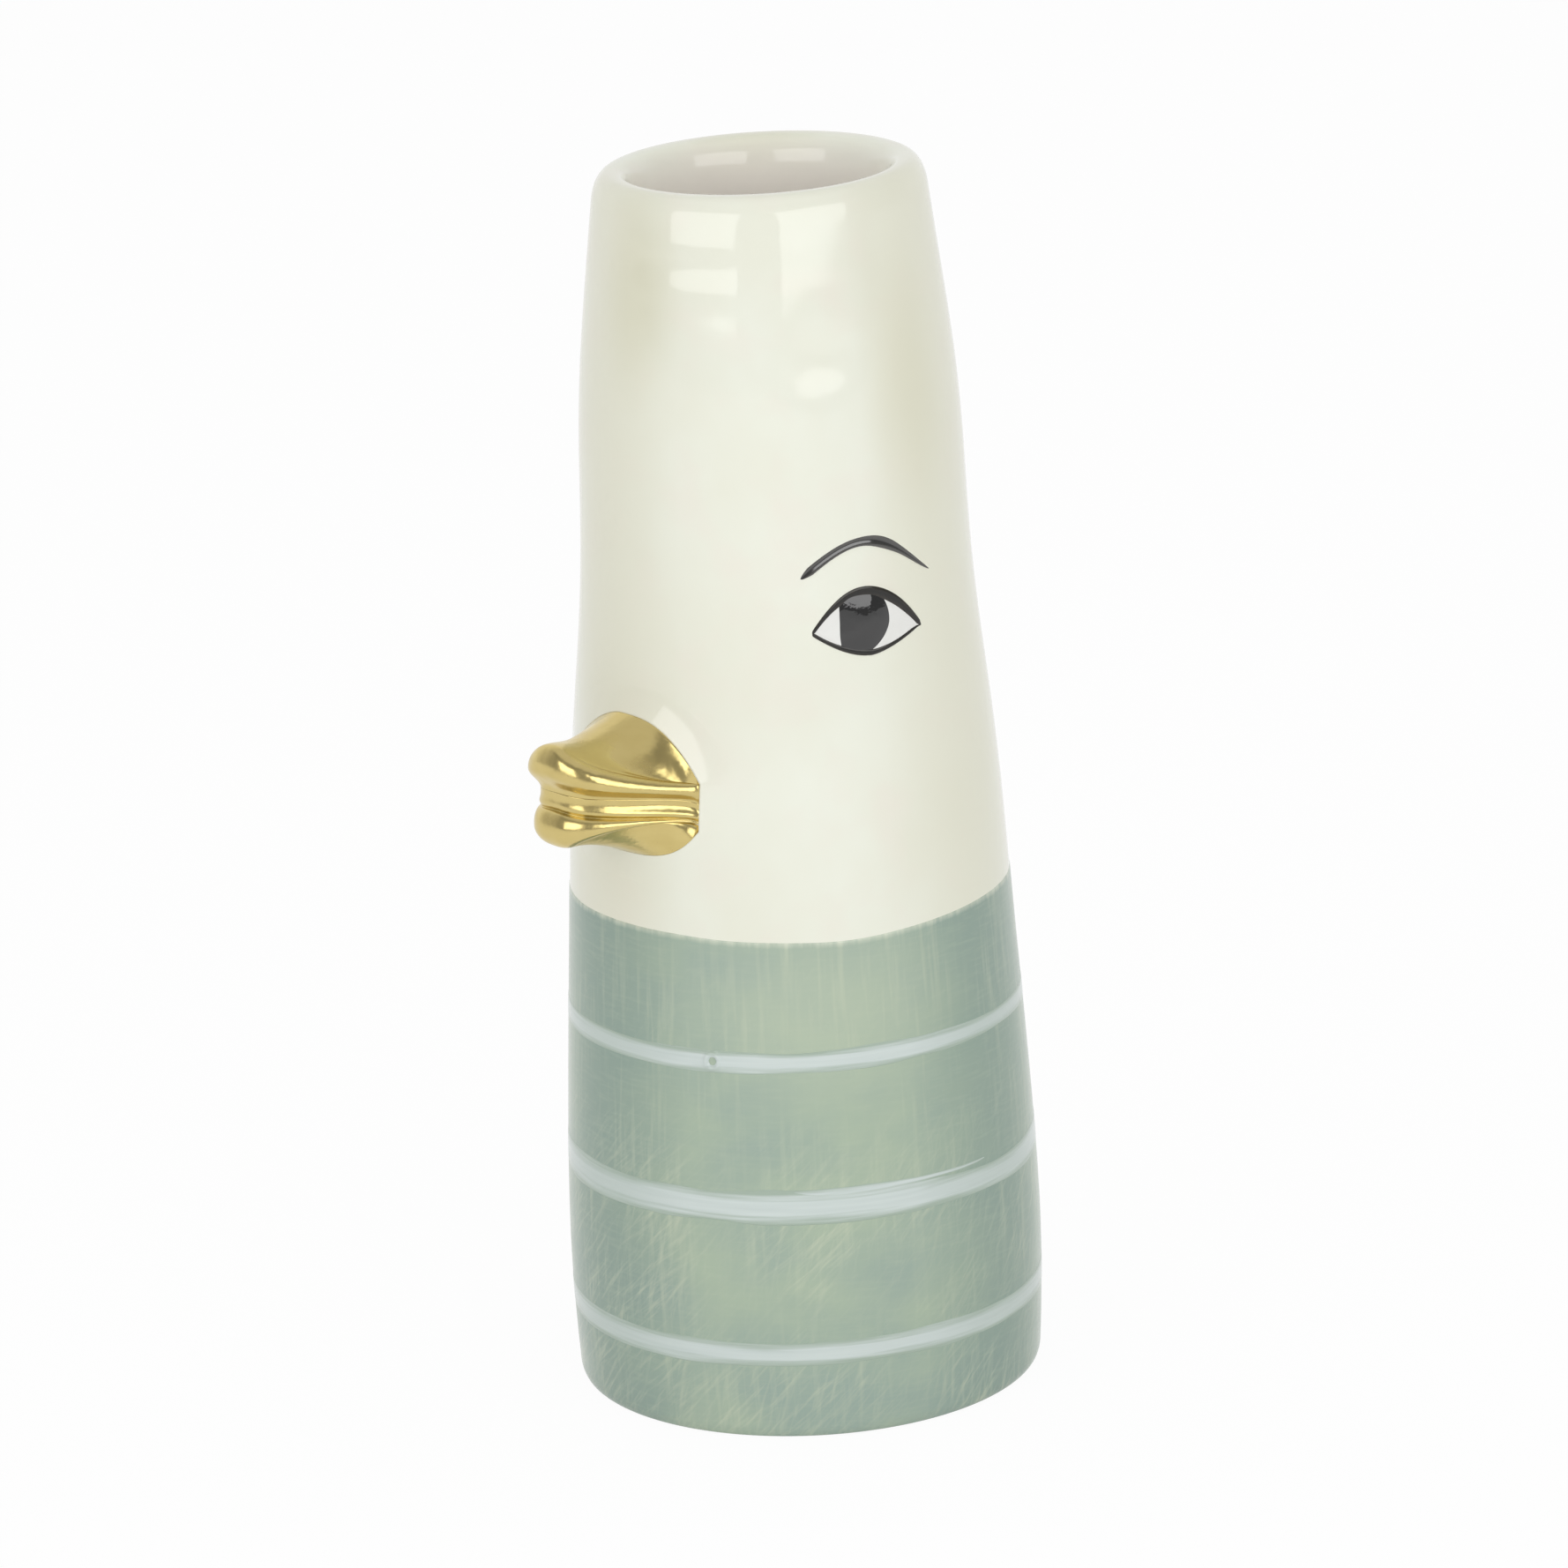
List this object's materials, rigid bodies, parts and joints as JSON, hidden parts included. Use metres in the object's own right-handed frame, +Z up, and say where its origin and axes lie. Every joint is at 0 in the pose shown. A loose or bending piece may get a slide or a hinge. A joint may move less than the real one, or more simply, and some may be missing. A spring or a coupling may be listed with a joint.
{
  "type": "duck vase",
  "caption": "Tall tapered ceramic flower vase in the form of a standing duck, with a gold lustre bill, painted eyes, a cream head and a striped pale green lower half.",
  "frame": {"origin": "centre of the flat foot, on the table", "axes": "+Z up along the axis of the vase, -Y out through the bill, +X to the duck's left"},
  "size_m": [0.0694, 0.0796, 0.18],
  "materials": {
    "clay": "unglazed fired clay, matte",
    "cream_glaze": "glossy cream glaze",
    "liner_glaze": "glossy pale beige liner glaze",
    "green_glaze": "satin brushed green glaze",
    "pale_slip": "pale grey-blue painted line, satin",
    "gold_lustre": "polished gold lustre over glaze",
    "eye_white": "glossy white enamel",
    "iris_black": "glossy charcoal enamel",
    "line_black": "satin black enamel"
  },
  "bodies": {
    "root": {"clay_body": "clay", "cream_glaze": "cream_glaze", "liner_glaze": "liner_glaze", "green_glaze": "green_glaze", "stripe_low": "pale_slip", "stripe_mid": "pale_slip", "stripe_top": "pale_slip", "bill_collar": "cream_glaze", "bill_upper": "gold_lustre", "bill_lower": "gold_lustre", "left_eye_white": "eye_white", "left_iris": "iris_black", "left_lid_line": "line_black", "left_brow": "line_black", "right_eye_white": "eye_white", "right_iris": "iris_black", "right_lid_line": "line_black", "right_brow": "line_black"}
  },
  "joints": []
}
